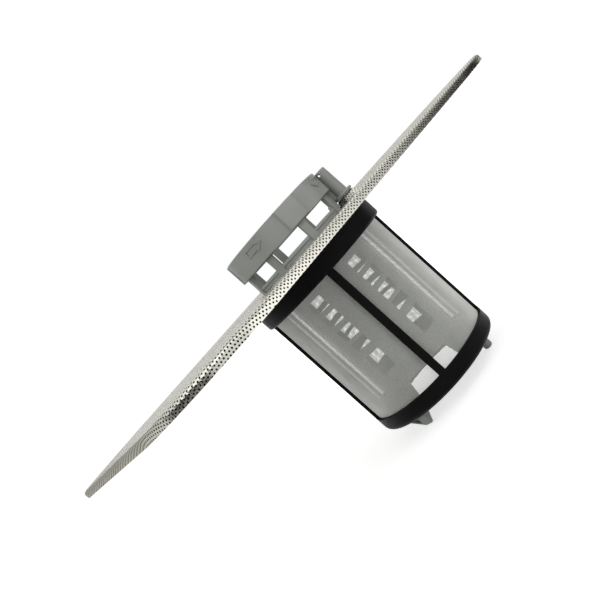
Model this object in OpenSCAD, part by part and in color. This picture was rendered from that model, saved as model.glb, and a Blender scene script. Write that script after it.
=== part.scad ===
// Drain filter of a dishwasher: a perforated steel plate, a black frame with a fine mesh
// sleeve, and a grey coarse filter made of a grip ring and a slotted basket.
// Z is the filter axis. z = 0 is the tub floor, where the lower edge of the plate's rim rests.
// The front, where the open arrow is, faces -Y. All sizes in mm.

/* [Fine filter frame] */
// outside diameter of the frame below its flange
frame_d = 76.2; // [74:0.1:79]
// depth of the frame's lower face below the tub floor
frame_drop = 90; // [86:0.5:96]
// moulded wall of the frame
frame_wall = 1.7; // [1.4:0.1:2]
// outside diameter of the flange that centres the filter in the drain well
flange_d = 80; // [79.6:0.1:83]
// height of the flange
flange_h = 13; // [10:0.5:16]
// width of the four upright ribs
rib_w = 4.1; // [3:0.1:6]
// height of the band at the bottom
band_h = 9; // [8:0.5:12]

/* [Fine mesh] */
// thickness of the mesh sleeve
mesh_t = 0.35; // [0.3:0.05:0.5]
// width of a slit that stands for a row of mesh openings
slit_w = 0.8; // [0.5:0.1:1.2]

/* [Strainer plate] */
// thickness of the steel sheet
sheet_t = 0.8; // [0.6:0.1:1]
// height of the turned down rim
rim_h = 4; // [3.6:0.1:5]
// outer radius of the rounded rim edge
edge_r = 2; // [1.6:0.1:2.6]
// how far the middle of the plate lies below its rim crest
dish_drop = 1.7; // [1:0.1:2.2]
// corner radius at the left
left_r = 69; // [62:1:74]
// corner radius at the front
front_r = 48; // [42:1:54]
// corner radius at the right
right_r = 98; // [92:1:104]
// height of the pressed dimple under the grip's foot stud
dimple_h = 3.8; // [3:0.1:3.8]

/* [Grip] */
// outside diameter of the grip ring
ring_d = 64; // [62:0.5:68]
// height of the grip ring
ring_h = 12.1; // [9:0.1:15]
// moulded wall of the grip ring
ring_wall = 2; // [1.6:0.1:2.2]
// depth of the finger scallops
scallop = 1.8; // [1:0.1:2]
// height of the open windows between the posts
window_h = 7.1; // [5:0.1:10]
// width of a post
post_w = 4; // [3:0.1:5]
// diameter of the upright stud beside the ring
stud_d = 6.8; // [6:0.1:7.2]

/* [Coarse basket] */
// outside diameter of the basket tube
tube_d = 48.6; // [46:0.1:49]
// wall of the basket
tube_wall = 1.6; // [1.3:0.1:2]
// width of a basket slot
slot_w = 10; // [7:0.5:12]
// half width of the gap in the foot, at its top
gap_half = 12; // [9:0.5:13]

/* [Hidden] */
$fn = 96;
// heights
sheet_top = rim_h - dish_drop;
sheet_bot = sheet_top - sheet_t;
flange_bot = sheet_bot - flange_h;
frame_bot = -frame_drop;
win_bot = frame_bot + band_h;
foot_z = sheet_top + 0.3;
rail_bot = sheet_top + 1.1;
rail_top = rail_bot + 3;
ring_bot = rail_top + window_h;
ring_top = ring_bot + ring_h;
stud_top = ring_top - 1.7;
// radii
frame_r = frame_d / 2;
frame_in = frame_r - frame_wall;
flange_r = flange_d / 2;
mesh_out = frame_in - 0.02;
mesh_in = mesh_out - mesh_t;
ring_r = ring_d / 2;
rail_r = ring_r - 2.6;
post_r = ring_r - 2.3;
stud_at = ring_r + 2.9;
tube_r = tube_d / 2;
tube_in = tube_r - tube_wall;
clip_r = tube_r + 1.1;
web_in = tube_r + 0.3;
hole_r = tube_r + 1.7;
foot_r = mesh_in - 0.5;
lip_in = foot_r - 1.5;
// plate
dish_flat = 46;
dish_r = 70;
corners = [[-47, -97, front_r], [45, 55, right_r], [-115, 54, left_r]];
// angles of the posts, the narrow lobe and the basket's slot columns
post_a0 = -71;
lobe_a = -71;
rib_a0 = -87.5;
slot_a = [-126.5, -53.5, 53.5, 126.5];
// lower edge above the frame's lower face, and height, of the slots of a column
slots = [[23.8, 12.5], [40.7, 5.2], [47.8, 7], [57.8, 6.6], [67.1, 7]];
floor_z = frame_bot + 14;
foot_slope = 0.64;

// helpers that several nodes share

function ease(t) = t * t * (3 - 2 * t);

// direction of the outward normal of the straight edge from corner a to corner b
function edge_dir(a, b) = atan2(b[1] - a[1], b[0] - a[0])
  - acos((a[2] - b[2]) / norm([b[0] - a[0], b[1] - a[1]]));

function edge_len(a, b) = sqrt(pow(norm([b[0] - a[0], b[1] - a[1]]), 2) - pow(a[2] - b[2], 2));

function on_arc(c, t, d) = [c[0] + (c[2] - d) * cos(t), c[1] + (c[2] - d) * sin(t)];

// angle from the middle of the nearest narrow lobe, 0 to 60
function fold(a) = abs(((a - lobe_a + 60) % 120 + 120) % 120 - 60);

// radius of the grip's outline at polar angle a: lobe, steep flank, long easy rise, pad
function grip_r(a) = let(f = fold(a))
  f < 10.5 ? ring_r :
  f < 13.5 ? ring_r - scallop * ease((f - 10.5) / 3) :
  f < 36 ? ring_r - scallop + scallop * ease((f - 13.5) / 22.5) :
  ring_r;

function grip_outline(d, n) = [for (i = [0 : n - 1])
  let(a = i * 360 / n, r = grip_r(a) - d) [r * cos(a), r * sin(a)]];

module tube(r_out, r_in, z0, z1) {
  difference() {
    translate([0, 0, z0]) cylinder(r = r_out, h = z1 - z0);
    translate([0, 0, z0 - 1]) cylinder(r = r_in, h = z1 - z0 + 2);
  }
}

// a shape drawn in the tangent and z plane, carried outward from r0 to r1 at polar angle a
module radial(a, r0, r1) {
  rotate([0, 0, a]) translate([r0, 0, 0]) rotate([90, 0, 90]) linear_extrude(r1 - r0) children();
}

// the strainer plate: a turned down rim, a shallow dish and a pressed dimple

module rim_section(x0, reach, top, low, er) {
  translate([x0, low]) square([reach - er - x0, top - low]);
  translate([x0, low]) square([reach - x0, top - er - low]);
  translate([reach - er, top - er]) circle(r = er);
}

// rounded slab with the plate's outline, inset by d: the straight runs lie a hair inside the
// corners' tangents and tops, so that their faces cross cleanly
module slab(d, top, low, er) {
  for (c = corners) {
    translate([c[0], c[1], 0]) rotate_extrude() rim_section(0, c[2] - d, top, low, er);
  }
  for (i = [0 : 2]) {
    a = corners[i];
    b = corners[(i + 1) % 3];
    translate([a[0], a[1], 0]) rotate([0, 0, edge_dir(a, b)]) translate([0, edge_len(a, b) + 1, 0])
      rotate([90, 0, 0]) linear_extrude(edge_len(a, b) + 2)
        rim_section(a[2] - d - er - 6, a[2] - d - 0.15, top - 0.03, low - 0.5, er);
  }
  translate([0, 0, low]) linear_extrude(top - low) polygon([for (i = [0 : 5])
    let(k = floor(i / 2), j = (i % 2 == 0) ? (k + 2) % 3 : k,
        t = edge_dir(corners[j], corners[(j + 1) % 3]))
    on_arc(corners[k], t, d + er + 0.05)]);
}

module dimple(top, r_top, low, inner_r) {
  slope = 4.8 / 3.8;
  difference() {
    translate([stud_at, 0, low])
      cylinder(r1 = r_top + (top - low) * slope, r2 = r_top, h = top - low);
    translate([0, 0, low - 1]) cylinder(r = inner_r, h = top - low + 2);
  }
}

module strainer_plate() {
  top = sheet_top + dimple_h;
  color([0.78, 0.78, 0.74]) difference() {
    union() {
      difference() {
        slab(0, rim_h, -1, edge_r);
        slab(sheet_t, rim_h - sheet_t, -2, edge_r - sheet_t);
        translate([0, 0, -2]) cylinder(r = dish_r, h = rim_h + 4);
        translate([-300, -300, -5]) cube([600, 600, 5]);
      }
      rotate_extrude() polygon([[hole_r, sheet_bot], [dish_flat, sheet_bot],
        [dish_r, rim_h - sheet_t], [dish_r + 1, rim_h - sheet_t], [dish_r + 1, rim_h],
        [dish_r, rim_h], [dish_flat, sheet_top], [hole_r, sheet_top]]);
      dimple(top, 4.7, sheet_bot + 0.2, rail_r + 1);
    }
    dimple(top - sheet_t, 4.7 + 0.8 * 4.8 / 3.8 - 1.29, sheet_bot - 1, rail_r + 1 + sheet_t);
  }
}

// the frame of the fine filter: bottom band, flange and four ribs

module frame_section() {
  er = 3.5;
  difference() {
    union() {
      translate([frame_r - er, frame_bot + er]) circle(r = er);
      translate([lip_in, frame_bot]) square([frame_r - er - lip_in, er]);
      translate([frame_in - 1, frame_bot + er]) square([frame_wall + 1, band_h - er]);
    }
    translate([frame_r - er, frame_bot + er]) circle(r = er - frame_wall);
    translate([lip_in - 5, frame_bot - 1]) square([5, 20]);
    translate([lip_in - 1, frame_bot + frame_wall]) square([frame_r - er - lip_in + 1, 20]);
    translate([lip_in - 1, frame_bot + er]) square([frame_in - lip_in + 1, 20]);
  }
}

// flange with rounded outer edges
module flange_section() {
  er = 1.2;
  translate([frame_in, flange_bot]) square([flange_r - er - frame_in, flange_h]);
  translate([frame_in + 1, flange_bot + er]) square([flange_r - frame_in - 1, flange_h - 2 * er]);
  translate([flange_r - er, flange_bot + er]) circle(r = er);
  translate([flange_r - er, sheet_bot - er]) circle(r = er);
}

// rounding where a rib meets the band, a hair past the tangents so that its edges cross cleanly
module window_corner(er) {
  for (s = [0, 1]) mirror([s, 0]) difference() {
    translate([rib_w / 2 - 0.5, win_bot - 0.5]) square([er + 0.4, er + 0.4]);
    translate([rib_w / 2 + er - 0.1, win_bot + er - 0.1]) circle(r = er);
  }
}

module microfilter_frame() {
  color([0.05, 0.05, 0.05]) {
    rotate_extrude() frame_section();
    rotate_extrude() flange_section();
    intersection() {
      tube(frame_r, frame_in, win_bot - 1, flange_bot + 1);
      for (k = [0 : 3]) radial(rib_a0 + 90 * k, frame_in - 2, frame_r + 2) {
        translate([-rib_w / 2, win_bot - 1]) square([rib_w, flange_bot - win_bot + 2]);
        window_corner(k % 2 == 0 ? 0.8 : 3);
      }
    }
  }
}

// the fine mesh: one sleeve with raised thread rings and slits, behind the frame's windows

module mesh_section() {
  z0 = frame_bot + 5.5;
  z1 = sheet_bot - 3;
  translate([mesh_in + 0.12, z0]) square([mesh_t - 0.12, z1 - z0]);
  for (i = [0 : 3]) translate([mesh_in, win_bot + 2 + i * (flange_bot - win_bot - 4) / 3 - 0.3])
    square([mesh_t, 0.6]);
}

module fine_mesh() {
  h = (flange_bot - win_bot - 4) / 3;
  color([0.85, 0.86, 0.84]) difference() {
    rotate_extrude() mesh_section();
    for (k = [0 : 3]) for (c = [0 : 9]) radial(rib_a0 + 90 * k + 11.25 + 7.5 * c, mesh_in - 2, frame_r)
      for (r = [0 : 2]) translate([-slit_w / 2, win_bot + 2 + h * r + 0.9])
        square([slit_w, h - 1.8]);
  }
}

// the grip ring

// outline of an arrow of the given inset, pointing to +x of the drawing
module arrow(d) {
  difference() {
    polygon([[-5.5, -1.9], [1.2, -1.9], [1.2, -3.1], [5.5, 0], [1.2, 3.1], [1.2, 1.9], [-5.5, 1.9]]);
    polygon([[-5.5 + d, -1.9 + d], [1.2 + d, -1.9 + d], [1.2 + d, -3.1 + 2.6 * d], [5.5 - 1.7 * d, 0],
      [1.2 + d, 3.1 - 2.6 * d], [1.2 + d, 1.9 - d], [-5.5 + d, 1.9 - d]]);
  }
}

module grip_shell() {
  er = 0.8;
  intersection() {
    difference() {
      translate([0, 0, ring_bot]) linear_extrude(ring_h) polygon(grip_outline(0, 180));
      translate([0, 0, ring_bot - 1]) linear_extrude(ring_h - 1) polygon(grip_outline(ring_wall, 90));
      translate([0, 0, ring_bot - 1]) cylinder(r = hole_r, h = ring_h + 2);
    }
    rotate_extrude() {
      translate([hole_r - 1, ring_bot - 1]) square([ring_r - hole_r + 1.1 - er, ring_h + 1]);
      translate([hole_r - 1, ring_bot + er]) square([ring_r - hole_r + 1.1, ring_h - 2 * er]);
      translate([ring_r + 0.1 - er, ring_bot + er]) circle(r = er);
      translate([ring_r + 0.1 - er, ring_top - er]) circle(r = er);
    }
  }
}

module rail_section() {
  translate([rail_r - 0.9, rail_top - 0.9]) circle(r = 0.9);
  translate([rail_r - 1.8, rail_bot]) square([1.3, 2.1]);
  translate([web_in, rail_bot + 0.5]) square([rail_r - 0.9 - web_in, 1.4]);
}

// upright stud with its foot disc, and the web that ties it to the closed window
module stud() {
  difference() {
    union() {
      translate([stud_at, 0, 0]) rotate_extrude() {
        translate([0, rail_top]) square([4.75, 1.7]);
        translate([4.75, rail_top + 0.85]) circle(r = 0.85);
        polygon([[0, rail_top + 1], [stud_d / 2 + 0.15, rail_top + 1],
          [stud_d / 2 - 0.1, stud_top - 0.8], [0, stud_top - 0.8]]);
        translate([0, stud_top - 1]) square([stud_d / 2 - 0.9, 1]);
        translate([stud_d / 2 - 0.9, stud_top - 0.8]) circle(r = 0.8);
      }
      translate([rail_r - 1, -1.2, rail_top + 0.2])
        cube([stud_at - rail_r, 2.4, ring_bot - rail_top + 0.8]);
    }
    translate([stud_at - 1.5, 10, stud_top - 1.9]) rotate([90, 0, 0]) cylinder(r = 0.7, h = 20);
  }
}

module grip_ring() {
  color([0.57, 0.59, 0.56]) {
    difference() {
      union() {
        grip_shell();
        rotate_extrude() rail_section();
        for (k = [0 : 7]) rotate([0, 0, post_a0 + 45 * k])
          translate([post_r - 1.8, -post_w / 2, foot_z]) cube([1.8, post_w, ring_top - 1 - foot_z]);
        rotate([0, 0, post_a0 + 45]) rotate_extrude(angle = 45)
          translate([rail_r - 1.4, rail_top - 1]) square([1.4, window_h + 2]);
        rotate([0, 0, post_a0 + 39]) translate([rail_r - 0.9, 0, rail_top - 0.5]) {
          cylinder(r = 0.85, h = 1.5);
          translate([0, 0, 1.5]) sphere(r = 0.85);
        }
      }
      translate([stud_at - 1.5, 10, stud_top - 1.9]) rotate([90, 0, 0]) cylinder(r = 0.7, h = 20);
    }
    stud();
    tube(hole_r + 1.4, hole_r, ring_top - 5, ring_top - 0.6);
    intersection() {
      tube(ring_r + 0.45, ring_r - 1, ring_bot, ring_top);
      union() {
        radial(-116.2, ring_r - 2, ring_r + 2) translate([0, ring_bot + 8.1]) arrow(0.75);
        radial(-26, ring_r - 2, ring_r + 2) mirror([1, 0]) translate([0, ring_bot + 8.1]) arrow(0.75);
      }
    }
  }
}

// the coarse basket

// wedge shaped locking lug at polar angle -138, and a round peg
module lugs() {
  low = frame_bot - 6.8;
  difference() {
    union() {
      intersection() {
        radial(-138, 25, 32)
          polygon([[-7.5, floor_z + 1], [-7.5, frame_bot - 1], [1.2, low], [5.5, low], [5.5, floor_z + 1]]);
        rotate([0, 0, -138]) translate([0, 10, 0]) rotate([90, 0, 0]) linear_extrude(20)
          polygon([[26, floor_z + 1], [26, frame_bot - 1], [29.8, low], [31, low], [31, floor_z + 1]]);
      }
      translate([26.9, -7.2, 0]) rotate_extrude() {
        translate([0, frame_bot - 7.5]) square([1.2, floor_z - frame_bot + 7.5]);
        translate([0, frame_bot - 6.4]) square([2.3, floor_z - frame_bot + 6.4]);
        translate([1.2, frame_bot - 6.4]) circle(r = 1.1);
      }
    }
    rotate_extrude() polygon([[0, floor_z - 0.7], [tube_r, floor_z - 0.7],
      [foot_r + 5, floor_z - 0.7 - (foot_r + 5 - tube_r) * foot_slope],
      [foot_r + 5, floor_z + 5], [0, floor_z + 5]]);
    radial(-138, 29.4, 32) polygon([[-6.3, frame_bot + 3], [-6.3, frame_bot - 0.8],
      [0, frame_bot - 5.3], [0, frame_bot + 3]]);
  }
}

// flared foot: a cone that ends in a short upright edge
module foot_section() {
  polygon([[tube_in, floor_z + 0.4], [tube_r, floor_z + 0.4], [tube_r, floor_z - 0.1],
    [foot_r, floor_z - 0.1 - (foot_r - tube_r) * foot_slope], [foot_r, floor_z - 11],
    [foot_r - 1.5, floor_z - 11], [foot_r - 1.5, floor_z - 1.3 - (foot_r - tube_r) * foot_slope],
    [tube_in + 0.4, floor_z - 1.5], [tube_in, floor_z - 1.5]]);
}

module coarse_basket() {
  color([0.55, 0.57, 0.54]) {
    difference() {
      union() {
        tube(tube_r, tube_in, floor_z, rail_bot + 1.4);
        tube(clip_r, tube_r - 0.4, rail_bot - 0.7, rail_bot + 0.5);
        translate([0, 0, floor_z]) cylinder(r = tube_r - 0.5, h = tube_wall);
        rotate_extrude() foot_section();
      }
      for (a = slot_a) for (s = slots) radial(a, tube_in - 4, tube_r + 3)
        translate([-slot_w / 2, frame_bot + s[0]]) square([slot_w, s[1]]);
      translate([0, 50, 0]) rotate([90, 0, 0]) linear_extrude(100)
        polygon([[-gap_half, floor_z + 0.2], [gap_half, floor_z + 0.2], [gap_half + 3, floor_z - 14],
          [-gap_half - 3, floor_z - 14]]);
      for (i = [-2 : 2]) translate([-13 + abs(i), i * 6.5 - 1.2, floor_z - 1])
        cube([26 - 2 * abs(i), 2.4, tube_wall + 2]);
    }
    lugs();
    for (k = [0 : 3]) rotate([0, 0, 33 + 90 * k]) rotate_extrude(angle = 24)
      polygon([[tube_in + 0.1, rail_bot], [tube_r - 0.1, rail_bot], [tube_r - 0.1, rail_bot + 1.9],
        [clip_r, rail_bot + 1.9], [tube_r + 0.3, rail_bot + 2.9], [tube_in + 0.1, rail_bot + 2.9]]);
  }
}

strainer_plate();
microfilter_frame();
fine_mesh();
grip_ring();
coarse_basket();
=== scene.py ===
"""Looks for a dishwasher drain filter: perforated steel plate, black mesh frame, grey coarse filter.

Z is the filter's axis and z = 0 is the tub floor. The front, with the open arrow, faces -Y.
Lengths are written in millimetres and MM turns them into metres.
"""
import math

import bmesh
import bpy
import numpy as np
from mathutils import Matrix, Vector


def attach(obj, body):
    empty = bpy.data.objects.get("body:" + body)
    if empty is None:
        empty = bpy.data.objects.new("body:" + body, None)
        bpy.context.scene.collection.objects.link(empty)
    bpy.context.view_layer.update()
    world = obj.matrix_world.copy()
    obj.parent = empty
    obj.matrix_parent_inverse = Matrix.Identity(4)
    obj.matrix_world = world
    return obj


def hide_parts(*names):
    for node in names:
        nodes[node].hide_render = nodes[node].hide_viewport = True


MM = 0.001
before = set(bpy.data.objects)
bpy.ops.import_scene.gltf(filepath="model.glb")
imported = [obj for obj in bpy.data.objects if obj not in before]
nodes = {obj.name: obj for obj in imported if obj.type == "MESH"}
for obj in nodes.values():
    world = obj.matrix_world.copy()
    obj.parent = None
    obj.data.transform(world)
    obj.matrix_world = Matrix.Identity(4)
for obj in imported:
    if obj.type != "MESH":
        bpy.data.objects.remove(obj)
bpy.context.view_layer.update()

# shading helpers


def new_material(name):
    material = bpy.data.materials.new(name)
    material.use_nodes = True
    tree = material.node_tree
    return material, tree, tree.nodes["Principled BSDF"]


def object_coordinates(tree, scale):
    coords = tree.nodes.new("ShaderNodeTexCoord")
    mapping = tree.nodes.new("ShaderNodeMapping")
    mapping.inputs["Scale"].default_value = scale
    tree.links.new(coords.outputs["Object"], mapping.inputs["Vector"])
    return mapping.outputs["Vector"]


def noise(tree, vector, scale, detail=4.0, roughness=0.55):
    node = tree.nodes.new("ShaderNodeTexNoise")
    node.inputs["Scale"].default_value = scale
    node.inputs["Detail"].default_value = detail
    node.inputs["Roughness"].default_value = roughness
    tree.links.new(vector, node.inputs["Vector"])
    return node.outputs["Fac"]


def ramp(tree, value, stops):
    node = tree.nodes.new("ShaderNodeValToRGB")
    elements = node.color_ramp.elements
    while len(elements) < len(stops):
        elements.new(0.5)
    for element, (place, colour) in zip(elements, stops):
        element.position = place
        element.color = (*colour, 1.0)
    tree.links.new(value, node.inputs["Fac"])
    return node.outputs["Color"]


def spread(tree, value, low, high):
    node = tree.nodes.new("ShaderNodeMapRange")
    node.inputs["From Min"].default_value = 0.3
    node.inputs["From Max"].default_value = 0.7
    node.inputs["To Min"].default_value = low
    node.inputs["To Max"].default_value = high
    tree.links.new(value, node.inputs["Value"])
    return node.outputs["Result"]


def bump(tree, bsdf, height, distance, strength=1.0):
    node = tree.nodes.new("ShaderNodeBump")
    node.inputs["Strength"].default_value = strength
    node.inputs["Distance"].default_value = distance
    tree.links.new(height, node.inputs["Height"])
    tree.links.new(node.outputs["Normal"], bsdf.inputs["Normal"])


def moulded_plastic(name, dark, light, gloss, grain, shine=0.4):
    """Injection moulded plastic: slow colour drift, fine spark-eroded grain, uneven gloss."""
    material, tree, bsdf = new_material(name)
    place = object_coordinates(tree, (1, 1, 1))
    drift = noise(tree, place, 38, 3)
    tree.links.new(ramp(tree, drift, [(0.3, dark), (0.7, light)]), bsdf.inputs["Base Color"])
    handled = noise(tree, place, 120, 5)
    tree.links.new(spread(tree, handled, gloss - 0.07, gloss + 0.08), bsdf.inputs["Roughness"])
    bump(tree, bsdf, noise(tree, place, 2600, 2), grain, 0.6)
    bsdf.inputs["Specular IOR Level"].default_value = shine
    return material


def rolled_steel(name, dark, light):
    """Bright rolled stainless sheet with a faint grain along the roll and water marks."""
    material, tree, bsdf = new_material(name)
    along = object_coordinates(tree, (1, 9, 1))
    place = object_coordinates(tree, (1, 1, 1))
    marks = noise(tree, place, 26, 6, 0.6)
    tree.links.new(ramp(tree, marks, [(0.32, dark), (0.68, light)]), bsdf.inputs["Base Color"])
    grain = noise(tree, along, 420, 4)
    tree.links.new(spread(tree, grain, 0.17, 0.30), bsdf.inputs["Roughness"])
    bump(tree, bsdf, grain, 0.000008, 0.5)
    bsdf.inputs["Metallic"].default_value = 1.0
    bsdf.inputs["Specular Tint"].default_value = (0.55, 0.54, 0.50, 1)
    return material, tree, bsdf


def hole_rows(tree, pitch, radius, turn, shift):
    """1 inside the holes of a staggered perforation, read off the place on the piece."""
    coords = tree.nodes.new("ShaderNodeTexCoord")
    nearest = None
    for half_step in (0.0, 0.5):
        mapping = tree.nodes.new("ShaderNodeMapping")
        mapping.inputs["Location"].default_value = (shift[0] + half_step * pitch,
                                                    shift[1] + half_step * pitch * math.sqrt(3), 0)
        mapping.inputs["Rotation"].default_value = (0, 0, turn)
        mapping.inputs["Scale"].default_value = (1, 1, 0)
        tree.links.new(coords.outputs["Object"], mapping.inputs["Vector"])
        cell = tree.nodes.new("ShaderNodeVectorMath")
        cell.operation = "WRAP"
        cell.inputs[1].default_value = (pitch / 2, pitch * math.sqrt(3) / 2, 1)
        cell.inputs[2].default_value = (-pitch / 2, -pitch * math.sqrt(3) / 2, -1)
        tree.links.new(mapping.outputs["Vector"], cell.inputs[0])
        away = tree.nodes.new("ShaderNodeVectorMath")
        away.operation = "LENGTH"
        tree.links.new(cell.outputs["Vector"], away.inputs[0])
        if nearest is None:
            nearest = away.outputs["Value"]
            continue
        least = tree.nodes.new("ShaderNodeMath")
        least.operation = "MINIMUM"
        tree.links.new(nearest, least.inputs[0])
        tree.links.new(away.outputs["Value"], least.inputs[1])
        nearest = least.outputs[0]
    inside = tree.nodes.new("ShaderNodeMapRange")
    inside.inputs["From Min"].default_value = radius * 1.08
    inside.inputs["From Max"].default_value = radius * 0.92
    tree.links.new(nearest, inside.inputs["Value"])
    return inside.outputs["Result"]


def perforated_underside(name, dark, light, pitch, radius, turn, shift):
    """Lower side of the sheet in steel darkened as painted shade, whose holes are painted as near-black dots of
    painted shade with a sunk edge.
    """
    material, tree, bsdf = rolled_steel(name, dark, light)
    hole = hole_rows(tree, pitch, radius, turn, shift)
    steel_colour = bsdf.inputs["Base Color"].links[0].from_socket
    steel_gloss = bsdf.inputs["Roughness"].links[0].from_socket
    # painted shade: near black inside the holes
    colour = tree.nodes.new("ShaderNodeMix")
    colour.data_type = "RGBA"
    tree.links.new(hole, colour.inputs["Factor"])
    tree.links.new(steel_colour, colour.inputs["A"])
    colour.inputs["B"].default_value = (0.012, 0.011, 0.010, 1)
    tree.links.new(colour.outputs["Result"], bsdf.inputs["Base Color"])
    gloss = tree.nodes.new("ShaderNodeMix")
    tree.links.new(hole, gloss.inputs["Factor"])
    tree.links.new(steel_gloss, gloss.inputs["A"])
    gloss.inputs["B"].default_value = 0.8
    tree.links.new(gloss.outputs["Result"], bsdf.inputs["Roughness"])
    sunk = tree.nodes.new("ShaderNodeMath")
    sunk.operation = "SUBTRACT"
    sunk.inputs[0].default_value = 1.0
    tree.links.new(hole, sunk.inputs[1])
    edge = tree.nodes.new("ShaderNodeBump")
    edge.inputs["Strength"].default_value = 0.8
    edge.inputs["Distance"].default_value = 0.0002
    tree.links.new(sunk.outputs[0], edge.inputs["Height"])
    tree.links.new(edge.outputs["Normal"], bsdf.inputs["Normal"].links[0].from_node.inputs["Normal"])
    return material


def painted_hole_shade():
    """Painted shade of a punched hole: dark faces standing in for the hole, a little lighter in random patches."""
    material, tree, bsdf = new_material("painted_hole_shade")
    # dark painted shade of the hole, with random lighter patches
    scale = noise(tree, object_coordinates(tree, (1, 1, 1)), 300, 3)
    tree.links.new(ramp(tree, scale, [(0.35, (0.014, 0.012, 0.010)), (0.7, (0.034, 0.031, 0.026))]),
                   bsdf.inputs["Base Color"])
    bsdf.inputs["Roughness"].default_value = 0.8
    bsdf.inputs["Specular IOR Level"].default_value = 0.2
    return material


def woven_monofilament():
    """Pale monofilament, a little darker where threads have taken up tea and grease."""
    material, tree, bsdf = new_material("pale_monofilament")
    place = object_coordinates(tree, (1, 1, 1))
    soiled = noise(tree, place, 70, 4)
    tree.links.new(ramp(tree, soiled, [(0.3, (0.62, 0.63, 0.60)), (0.7, (0.71, 0.72, 0.69))]),
                   bsdf.inputs["Base Color"])
    tree.links.new(spread(tree, noise(tree, place, 900, 2), 0.38, 0.55), bsdf.inputs["Roughness"])
    return material


GREY = moulded_plastic("grey_moulded_plastic", (0.213, 0.225, 0.211), (0.262, 0.274, 0.257), 0.46, 0.000012)
BASKET_GREY = moulded_plastic("grey_basket_plastic", (0.213, 0.225, 0.210), (0.262, 0.275, 0.256), 0.5, 0.000012)
BLACK = moulded_plastic("black_moulded_plastic", (0.0020, 0.0020, 0.0021), (0.0040, 0.0040, 0.0042), 0.42, 0.000008,
                        0.05)
STEEL = rolled_steel("rolled_stainless_sheet", (0.45, 0.445, 0.40), (0.54, 0.53, 0.475))[0]
HOLE_SHADE = painted_hole_shade()
THREAD = woven_monofilament()

# mesh helpers


def finish_piece(bm, name, material, body, replaced):
    mesh = bpy.data.meshes.new(name)
    bm.to_mesh(mesh)
    bm.free()
    piece = bpy.data.objects.new(name, mesh)
    bpy.context.scene.collection.objects.link(piece)
    mesh.materials.append(material)
    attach(piece, body)
    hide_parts(replaced)
    return piece


def shade_smooth(piece, angle):
    for polygon in piece.data.polygons:
        polygon.use_smooth = True
    piece.data.set_sharp_from_angle(angle=math.radians(angle))


# strainer plate

PLATE_CORNERS = ((-47.0, -97.0, 48.0), (45.0, 55.0, 98.0), (-115.0, 54.0, 69.0))
CREST = 4.0
EDGE_RADIUS = 2.0
SHEET = 0.8
DISH_FLAT = 46.0
DISH_REACH = 70.0
DISH_LEVEL = 2.3
HOLE_RADIUS = 26.0
DIMPLE_X = 34.9
DIMPLE_TOP = 4.7
DIMPLE_BASE = 9.5
DIMPLE_RISE = 4.0
DIMPLE_WALL = 29.9
PITCH = 1.45
HOLE = 0.42
ROW_ANGLE = -47.5
LATTICE_X = -25.7
LATTICE_Y = 43.6
SHEET_LENGTH = 490.0
SHEET_WIDTH = 338.0
BAND = math.pi / 2 * EDGE_RADIUS + CREST - EDGE_RADIUS


def straight_runs():
    """Start, outward normal, radius and length of each straight run of the plate's edge."""
    runs = []
    for i, (ax, ay, ar) in enumerate(PLATE_CORNERS):
        bx, by, br = PLATE_CORNERS[(i + 1) % 3]
        far = math.hypot(bx - ax, by - ay)
        turn = math.atan2(by - ay, bx - ax) - math.acos((ar - br) / far)
        runs.append((ax, ay, ar, turn, math.sqrt(far * far - (ar - br) ** 2)))
    return runs


def beyond_bend(x, y):
    """Distance past the line where the rim starts to turn down, and the outward normal there."""
    past = np.full(x.shape, -1e3)
    nx = np.zeros(x.shape)
    ny = np.zeros(x.shape)
    runs = straight_runs()
    for i, (ax, ay, ar, turn, length) in enumerate(runs):
        ux, uy = math.cos(turn), math.sin(turn)
        out = (x - ax) * ux + (y - ay) * uy - ar + EDGE_RADIUS
        along = -(x - ax) * uy + (y - ay) * ux
        use = (along >= 0) & (along <= length) & (out > past)
        past[use], nx[use], ny[use] = out[use], ux, uy
        before = runs[i - 1][3]
        sweep = (turn - before) % (2 * math.pi)
        reach = np.hypot(x - ax, y - ay)
        angle = (np.arctan2(y - ay, x - ax) - before) % (2 * math.pi)
        out = reach - ar + EDGE_RADIUS
        use = (angle <= sweep) & (out > past) & (reach > 1)
        past[use] = out[use]
        nx[use] = ((x - ax) / np.maximum(reach, 1e-9))[use]
        ny[use] = ((y - ay) / np.maximum(reach, 1e-9))[use]
    return past, nx, ny


def sheet_height(x, y):
    """Height of the sheet's upper face: crest, shallow dish and pressed dimple."""
    radius = np.hypot(x, y)
    dish = np.clip((radius - DISH_FLAT) / (DISH_REACH - DISH_FLAT), 0, 1)
    z = DISH_LEVEL + (CREST - DISH_LEVEL) * dish
    from_dimple = np.hypot(x - DIMPLE_X, y)
    rise = np.clip((DIMPLE_BASE - from_dimple) / (DIMPLE_BASE - DIMPLE_TOP), 0, 1) * DIMPLE_RISE
    raised = np.where(radius > DIMPLE_WALL, DISH_LEVEL + rise, 0)
    return np.maximum(z, raised)


def lattice_size(pitch):
    return round(SHEET_LENGTH / pitch), round(SHEET_WIDTH / pitch / math.sqrt(0.75))


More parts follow.
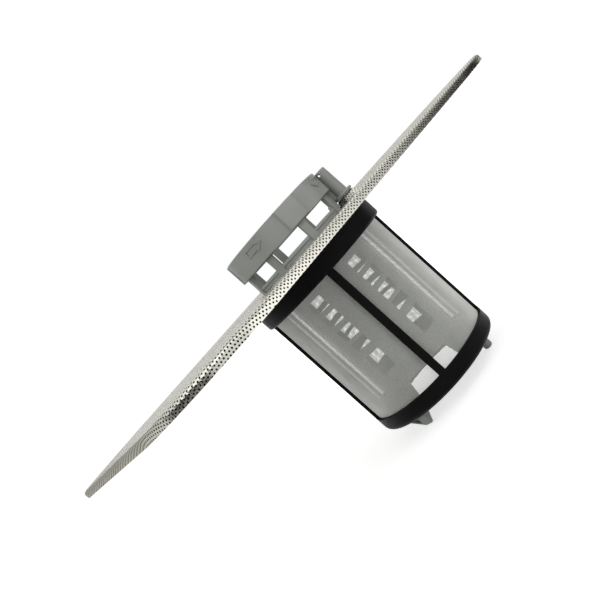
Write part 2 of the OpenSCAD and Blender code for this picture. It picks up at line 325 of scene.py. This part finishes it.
def lattice(pitch):
    """Flat sheet of close triangles whose corners are the centres of the holes, in millimetres."""
    across, rows = lattice_size(pitch)
    bm = bmesh.new()
    bmesh.ops.create_grid(bm, x_segments=across, y_segments=rows, size=0.5)
    shear = Matrix(((pitch * across, pitch * rows / 2, 0, 0),
                    (0, pitch * math.sqrt(0.75) * rows, 0, 0),
                    (0, 0, 1, 0), (0, 0, 0, 1)))
    turn = Matrix.Rotation(math.radians(ROW_ANGLE), 4, "Z")
    place = Matrix.Translation((LATTICE_X, LATTICE_Y, 0))
    bmesh.ops.transform(bm, matrix=place @ turn @ shear, verts=bm.verts)
    co = np.array([v.co[:] for v in bm.verts])
    past, _, _ = beyond_bend(co[:, 0], co[:, 1])
    drop = (past > BAND + pitch * 1.1) | (np.hypot(co[:, 0], co[:, 1]) < HOLE_RADIUS - pitch * 1.1)
    bm.verts.ensure_lookup_table()
    bmesh.ops.delete(bm, geom=[bm.verts[i] for i in np.nonzero(drop)[0]], context="VERTS")
    bmesh.ops.triangulate(bm, faces=bm.faces, quad_method="SHORT_EDGE")
    return bm


def punch(bm):
    """Cuts every corner of the lattice to a small hexagon and marks it as a hole, a flat face that takes the dark
    painted shade of a hole.
    """
    inner = [v for v in bm.verts if not v.is_boundary]
    bmesh.ops.bevel(bm, geom=inner, offset=HOLE, offset_type="OFFSET", segments=1,
                    profile=0.5, affect="VERTICES", material=-1)
    for face in bm.faces:
        face.material_index = 1 if len(face.verts) == 6 and face.calc_area() < 0.35 * PITCH * PITCH * 0.75 else 0


def press(bm, depth):
    """Trims the sheet to its outline and hole, presses dish and dimple and turns the rim down."""
    co = np.array([v.co[:] for v in bm.verts])
    x, y = co[:, 0].copy(), co[:, 1].copy()
    past, nx, ny = beyond_bend(x, y)
    over = np.maximum(past - BAND, 0)
    x -= nx * over
    y -= ny * over
    past = np.minimum(past, BAND)
    radius = np.hypot(x, y)
    short = radius < HOLE_RADIUS
    x[short] *= HOLE_RADIUS / radius[short]
    y[short] *= HOLE_RADIUS / radius[short]
    z = sheet_height(x, y) - depth
    bent = past > 0
    angle = np.minimum(past / EDGE_RADIUS, math.pi / 2)
    plan = (EDGE_RADIUS - depth) * np.sin(angle)
    z_bent = CREST - EDGE_RADIUS + (EDGE_RADIUS - depth) * np.cos(angle)
    z_bent -= np.maximum(past - math.pi / 2 * EDGE_RADIUS, 0)
    x[bent] -= (nx * (past - plan))[bent]
    y[bent] -= (ny * (past - plan))[bent]
    z[bent] = z_bent[bent]
    for v, px, py, pz in zip(bm.verts, x, y, z):
        v.co = (px * MM, py * MM, pz * MM)
    bmesh.ops.dissolve_degenerate(bm, dist=2e-6, edges=bm.edges)
    bmesh.ops.recalc_face_normals(bm, faces=bm.faces)
    if (sum(f.normal.z for f in bm.faces) < 0) == (depth == 0):
        bmesh.ops.reverse_faces(bm, faces=bm.faces)


def split_off(bm, index):
    """A copy of the skin with only the faces marked with that index."""
    part = bm.copy()
    tag = part.faces.layers.int["sheet"]
    bmesh.ops.delete(part, geom=[f for f in part.faces if f[tag] != index], context="FACES")
    bmesh.ops.delete(part, geom=[v for v in part.verts if not v.link_faces], context="VERTS")
    bmesh.ops.delete(part, geom=[e for e in part.edges if not e.link_faces], context="EDGES")
    return part


def plate_piece(bm, name, materials):
    piece = finish_piece(bm, name, materials[0], "seat", "strainer_plate")
    for material in materials[1:]:
        piece.data.materials.append(material)
    return piece


def build_skin():
    """The upper skin in four sheets, and the rim with its holes sunk into the hem as pits whose dark floors are
    painted shade.
    """
    bm = lattice(PITCH)
    punch(bm)
    press(bm, 0)
    bm.faces.ensure_lookup_table()
    co = np.array([f.calc_center_median()[:] for f in bm.faces]) / MM
    past, _, _ = beyond_bend(co[:, 0], co[:, 1])
    rim = past > -1.4
    angle = (np.degrees(np.arctan2(co[:, 1], co[:, 0])) + 90) % 360
    sector = np.searchsorted(np.quantile(angle[~rim], (0.25, 0.5, 0.75)), angle)
    tag = bm.faces.layers.int.new("sheet")
    bm.faces.ensure_lookup_table()
    for face, where, on_rim in zip(bm.faces, sector, rim):
        face[tag] = 4 if on_rim else int(where)
        heights = [v.co.z for v in face.verts]
        if max(heights) - min(heights) > 0.9 * MM and not on_rim:
            face.material_index = 0
    for index, name in enumerate(("front", "right", "back", "left", "rim")):
        part = split_off(bm, index)
        if name == "rim":
            # the rim's hole faces sink 0.45 mm into pits whose floors keep the dark painted shade
            holes = [f for f in part.faces if f.material_index == 1]
            floors = bmesh.ops.extrude_discrete_faces(part, faces=holes)["faces"]
            for face in floors:
                face.normal_update()
            sunk = [(v, -0.45 * MM * face.normal) for face in floors for v in face.verts]
            for v, move in sunk:
                v.co += move
        plate_piece(part, "strainer_sheet_" + name, (STEEL, HOLE_SHADE))
    bm.free()


def build_underside():
    """The lower skin, closed along the rim's lower edge and round the middle hole."""
    bm = lattice(PITCH * 2)
    press(bm, SHEET)
    edge = [e for e in bm.edges if e.is_boundary]
    low = [e for e in edge if all(v.co.z < 0.05 * MM for v in e.verts)]
    inner = [e for e in edge if all(v.co.xy.length < (HOLE_RADIUS + 0.1) * MM for v in e.verts)]
    for group, rise in ((low, 0), (inner, SHEET * MM)):
        made = bmesh.ops.extrude_edge_only(bm, edges=group)["geom"]
        verts = [g for g in made if isinstance(g, bmesh.types.BMVert)]
        if rise:
            bmesh.ops.translate(bm, verts=verts, vec=(0, 0, rise))
            continue
        co = np.array([v.co[:] for v in verts]) / MM
        _, nx, ny = beyond_bend(co[:, 0], co[:, 1])
        for v, ux, uy in zip(verts, nx, ny):
            v.co += Vector((ux, uy, 0)) * SHEET * MM
    across, rows = lattice_size(PITCH)
    middle = Matrix.Rotation(math.radians(-ROW_ANGLE), 2) @ Vector((LATTICE_X, LATTICE_Y))
    shift = (PITCH * (across / 2 + rows / 4) - middle.x, PITCH * math.sqrt(0.75) * rows / 2 - middle.y)
    # darker than the upper skin's steel: painted shade under the plate and behind the rim's holes
    material = perforated_underside("stainless_underside_painted_shade", (0.22, 0.215, 0.20), (0.31, 0.30, 0.28),
                                    PITCH * MM, HOLE * 0.9 * MM, math.radians(-ROW_ANGLE),
                                    (shift[0] * MM, shift[1] * MM))
    plate_piece(bm, "strainer_underside", (material,))


build_skin()
build_underside()

# woven mesh sleeve

THREAD_PITCH = 0.55
WEFT_SIZE = 0.16
WARP_WIDTH = 0.18
WARP_DEPTH = 0.32
RING_STEPS = 56
SLEEVE_RADIUS = 36.2
SLEEVE_LOW = -84.5
SLEEVE_HIGH = -1.5


def build_sleeve():
    """Rings of weft through flat upright warp threads, which close up towards the sides."""
    bm = bmesh.new()
    half = WEFT_SIZE / 2
    section = bmesh.ops.create_circle(bm, segments=4, radius=half * MM)["verts"]
    upright = Matrix.Rotation(math.pi / 2, 4, "X")
    bmesh.ops.transform(bm, verts=section, matrix=Matrix.Translation(
        (SLEEVE_RADIUS * MM, 0, (SLEEVE_LOW + half) * MM)) @ upright)
    edges = [e for e in bm.edges]
    bmesh.ops.spin(bm, geom=section + edges, cent=(0, 0, 0), axis=(0, 0, 1), dvec=(0, 0, 0),
                   angle=math.tau, steps=RING_STEPS, use_merge=True)
    ring = list(bm.verts) + list(bm.edges) + list(bm.faces)
    count = int((SLEEVE_HIGH - SLEEVE_LOW - WEFT_SIZE) / THREAD_PITCH)
    for i in range(1, count + 1):
        copy = bmesh.ops.duplicate(bm, geom=ring)["geom"]
        bmesh.ops.translate(bm, verts=[g for g in copy if isinstance(g, bmesh.types.BMVert)],
                            vec=(0, 0, i * THREAD_PITCH * MM))
    threads = round(math.tau * SLEEVE_RADIUS / THREAD_PITCH)
    length = SLEEVE_HIGH - SLEEVE_LOW
    place = Matrix.Translation((SLEEVE_RADIUS * MM, 0, (SLEEVE_LOW + length / 2) * MM))
    flat = Matrix.Diagonal((WARP_DEPTH / 2 * MM, WARP_WIDTH / 2 * MM, length * MM, 1))
    for i in range(threads):
        turn = Matrix.Rotation(math.tau * i / threads, 4, "Z")
        bmesh.ops.create_cone(bm, cap_ends=True, segments=4, radius1=1, radius2=1, depth=1,
                              matrix=turn @ place @ flat)
    bmesh.ops.recalc_face_normals(bm, faces=bm.faces)
    finish_piece(bm, "mesh_sleeve", THREAD, "seat", "fine_mesh")


build_sleeve()

# moulded parts

for node, material in (("grip_ring", GREY), ("coarse_basket", BASKET_GREY), ("microfilter_frame", BLACK)):
    nodes[node].data.materials.clear()
    nodes[node].data.materials.append(material)

# floor, light and camera


def seen_directly(tree):
    """1 for rays of the camera and for reflections and views through glass, else 0."""
    path = tree.nodes.new("ShaderNodeLightPath")
    total = path.outputs["Is Camera Ray"]
    for ray in ("Is Glossy Ray", "Is Transmission Ray"):
        most = tree.nodes.new("ShaderNodeMath")
        most.operation = "MAXIMUM"
        tree.links.new(total, most.inputs[0])
        tree.links.new(path.outputs[ray], most.inputs[1])
        total = most.outputs[0]
    return total


def build_floor():
    bm = bmesh.new()
    bmesh.ops.create_grid(bm, x_segments=4, y_segments=4, size=6)
    bmesh.ops.translate(bm, verts=bm.verts, vec=(0, 0, -0.0984))
    mesh = bpy.data.meshes.new("floor")
    bm.to_mesh(mesh)
    bm.free()
    floor = bpy.data.objects.new("floor", mesh)
    bpy.context.scene.collection.objects.link(floor)
    material, tree, bsdf = new_material("pale_floor")
    bsdf.inputs["Base Color"].default_value = (0.86, 0.86, 0.86, 1)
    bsdf.inputs["Roughness"].default_value = 0.9
    seen = seen_directly(tree)
    glow = tree.nodes.new("ShaderNodeMath")
    glow.operation = "MULTIPLY"
    glow.inputs[1].default_value = 0.62
    tree.links.new(seen, glow.inputs[0])
    bsdf.inputs["Emission Color"].default_value = (1, 1, 1, 1)
    tree.links.new(glow.outputs[0], bsdf.inputs["Emission Strength"])
    mesh.materials.append(material)


def build_world():
    world = bpy.data.worlds.new("studio")
    bpy.context.scene.world = world
    world.use_nodes = True
    tree = world.node_tree
    background = tree.nodes["Background"]
    seen = seen_directly(tree)
    level = tree.nodes.new("ShaderNodeMapRange")
    level.inputs["To Min"].default_value = 0.55
    level.inputs["To Max"].default_value = 1.0
    tree.links.new(seen, level.inputs["Value"])
    background.inputs["Color"].default_value = (1, 1, 1, 1)
    tree.links.new(level.outputs["Result"], background.inputs["Strength"])


def softbox(name, place, aim, size, power, colour=(1, 1, 1)):
    lamp = bpy.data.lights.new(name, "AREA")
    lamp.shape = "RECTANGLE"
    lamp.size, lamp.size_y = size
    lamp.energy = power
    lamp.color = colour
    holder = bpy.data.objects.new(name, lamp)
    bpy.context.scene.collection.objects.link(holder)
    holder.location = place
    holder.rotation_euler = (Vector(aim) - Vector(place)).to_track_quat("-Z", "Y").to_euler()
    holder.visible_camera = False


def dark_card(name, place, aim, width, height):
    """A card beside the set that only the shine of the metal and plastic shows."""
    bm = bmesh.new()
    bmesh.ops.create_grid(bm, x_segments=1, y_segments=1, size=0.5)
    bmesh.ops.scale(bm, vec=(width, height, 1), verts=bm.verts)
    turn = (Vector(aim) - Vector(place)).to_track_quat("-Z", "Y").to_matrix().to_4x4()
    bmesh.ops.transform(bm, matrix=Matrix.Translation(place) @ turn, verts=bm.verts)
    mesh = bpy.data.meshes.new(name)
    bm.to_mesh(mesh)
    bm.free()
    card = bpy.data.objects.new(name, mesh)
    bpy.context.scene.collection.objects.link(card)
    material, tree, bsdf = new_material(name)
    bsdf.inputs["Base Color"].default_value = (0.02, 0.02, 0.02, 1)
    bsdf.inputs["Roughness"].default_value = 1.0
    mesh.materials.append(material)
    card.visible_camera = False
    card.visible_diffuse = False
    card.visible_shadow = False


FOCAL_PIXELS = 769.0
IMAGE_PIXELS = 600.0
EYE = Vector((0.0, -386.0, 9.0))
YAW_LEFT = 2.81
PITCH_DOWN = 3.13
ROLL = 48.3


def build_camera():
    yaw, dip, roll = (math.radians(a) for a in (YAW_LEFT, PITCH_DOWN, ROLL))
    ahead = Vector((-math.sin(yaw) * math.cos(dip), math.cos(yaw) * math.cos(dip), -math.sin(dip)))
    level_right = Vector((math.cos(yaw), math.sin(yaw), 0))
    level_up = level_right.cross(ahead)
    right = level_right * math.cos(roll) - level_up * math.sin(roll)
    up = level_right * math.sin(roll) + level_up * math.cos(roll)
    camera = bpy.data.cameras.new("camera")
    camera.sensor_width = 36
    camera.lens = 36 * FOCAL_PIXELS / IMAGE_PIXELS
    camera.clip_start = 0.01
    holder = bpy.data.objects.new("camera", camera)
    bpy.context.scene.collection.objects.link(holder)
    turn = Matrix((right, up, -ahead)).transposed().to_4x4()
    holder.matrix_world = Matrix.Translation(EYE * MM) @ turn
    bpy.context.scene.camera = holder


build_floor()
build_world()
softbox("key_softbox", (-0.35, -0.75, 0.75), (0, 0, 0), (1.5, 1.5), 7.5)
softbox("fill_softbox", (0.75, -0.5, 0.25), (0, 0, -0.02), (1.0, 1.0), 3.0)
softbox("back_softbox", (0.1, 0.8, 0.6), (0, 0, 0), (1.4, 1.0), 4.0)
dark_card("left_card", (-0.395, -0.51, 0.10), (-0.06, -0.14, 0), 0.60, 0.36)
dark_card("right_card", (0.46, 0.13, 0.05), (0.11, 0.0, 0), 0.34, 0.30)
build_camera()
bpy.context.scene.view_settings.view_transform = "Standard"
